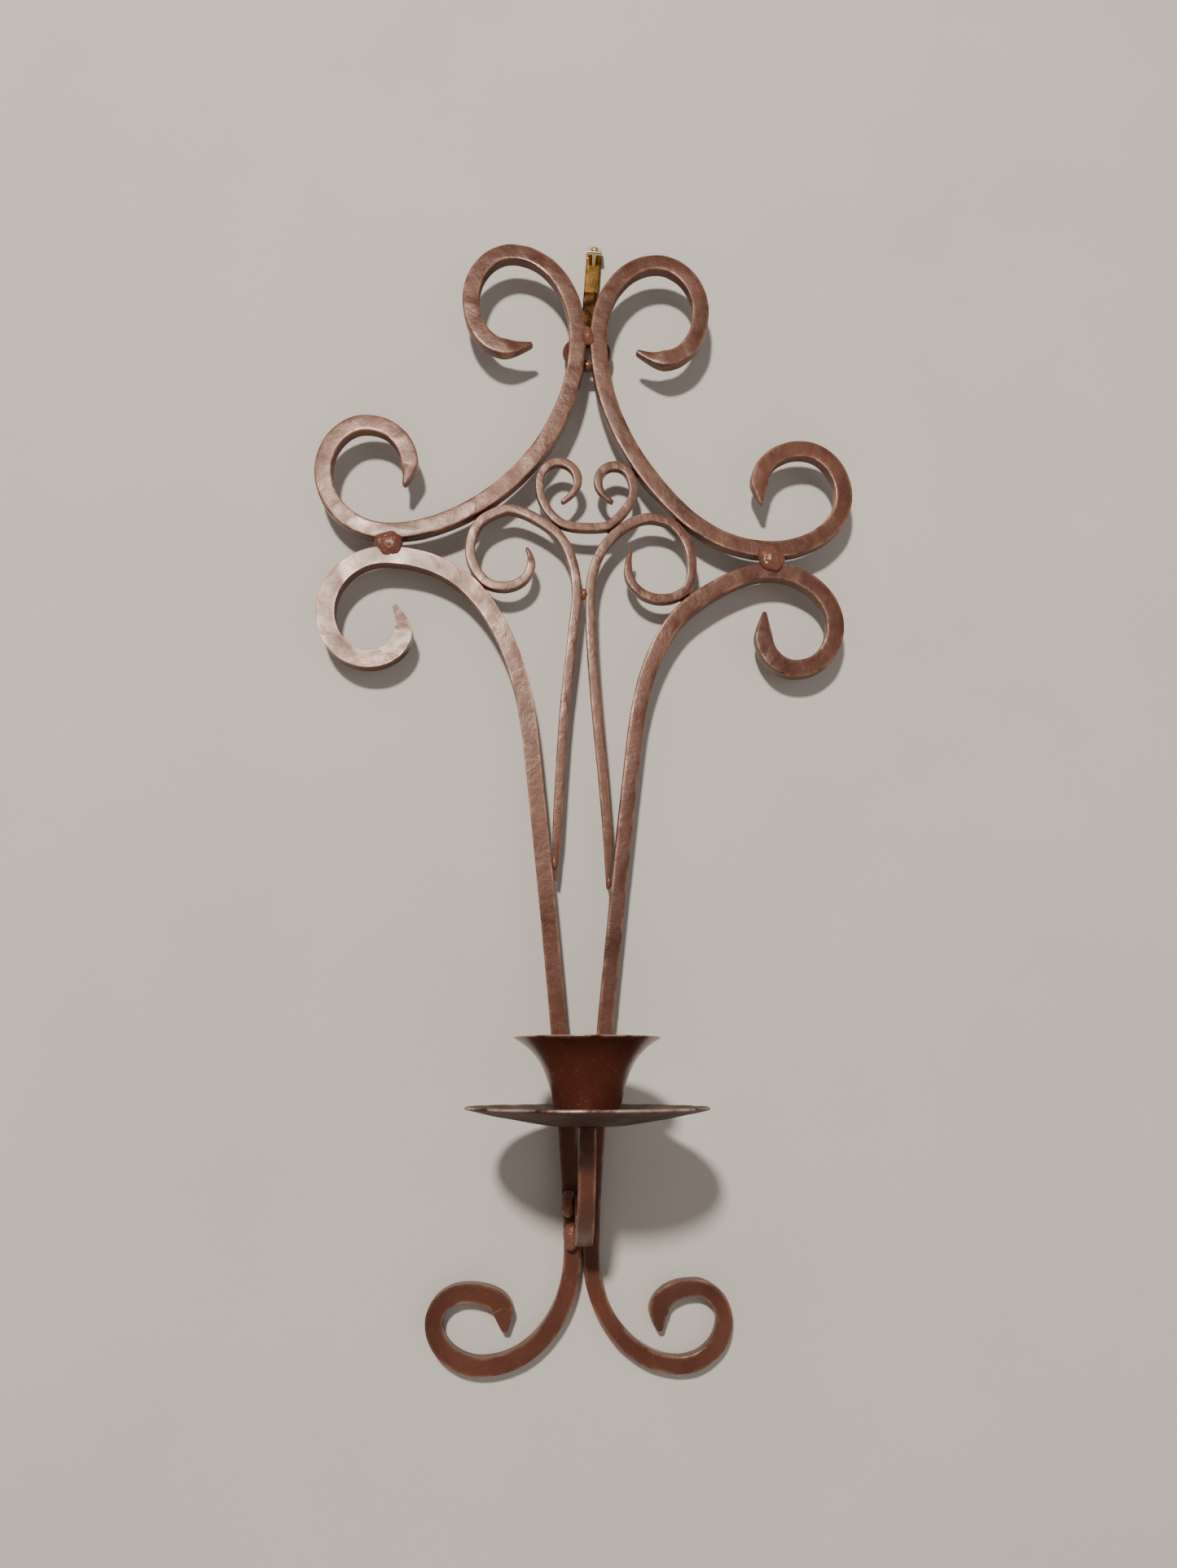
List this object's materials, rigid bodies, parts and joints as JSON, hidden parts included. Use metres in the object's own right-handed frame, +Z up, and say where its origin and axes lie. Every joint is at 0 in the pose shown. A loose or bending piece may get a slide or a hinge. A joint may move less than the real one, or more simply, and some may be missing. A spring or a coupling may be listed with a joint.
{
  "type": "wall sconce candle holder",
  "caption": "Hand-forged wall sconce: scrolled dark iron bars with a drip pan and flared cup for one taper candle, hanging by a ring on a brass picture hook.",
  "frame": {"origin": "on the wall, at the middle of the back of the picture hook's strip", "axes": "+Z up the wall, +Y into the wall, +X to the right as seen from the room"},
  "size_m": [0.2703, 0.1246, 0.5595],
  "materials": {
    "iron": "semi-gloss dark brown paint over hammered bar",
    "weld": "painted weld metal, lumpy",
    "screw": "painted over, worn at the head",
    "brass": "brass-plated strip, polished with light wear"
  },
  "bodies": {
    "wall_hook": {"hook_strip": "brass", "hook_nail": "brass"},
    "sconce": {"hanging_ring": "iron", "upper_scroll_left": "iron", "upper_scroll_right": "iron", "lower_scroll_left": "iron", "lower_scroll_right": "iron", "inner_scroll_left": "iron", "inner_scroll_right": "iron", "crown_scroll": "iron", "candle_arm": "iron", "drip_pan": "iron", "candle_cup": "iron", "top_joint_weld": "weld", "side_weld_left": "weld", "side_weld_right": "weld", "inner_pair_weld": "weld", "arm_weld_upper": "weld", "arm_weld_lower": "weld", "stem_weld_left": "weld", "stem_weld_right": "weld", "loop_weld_upper_left": "weld", "loop_weld_lower_left": "weld", "loop_weld_upper_right": "weld", "loop_weld_lower_right": "weld", "crown_weld_left": "weld", "crown_weld_right": "weld", "crown_weld_bar": "weld", "ring_weld": "weld", "cup_screw": "screw"}
  },
  "joints": [
    {"name": "sway", "type": "hinge", "parent": "wall_hook", "child": "sconce", "pos_m": [-0.00333, -0.00743, -0.05289], "axis": [0, 1, 0], "range_deg": [-12, 12]}
  ]
}
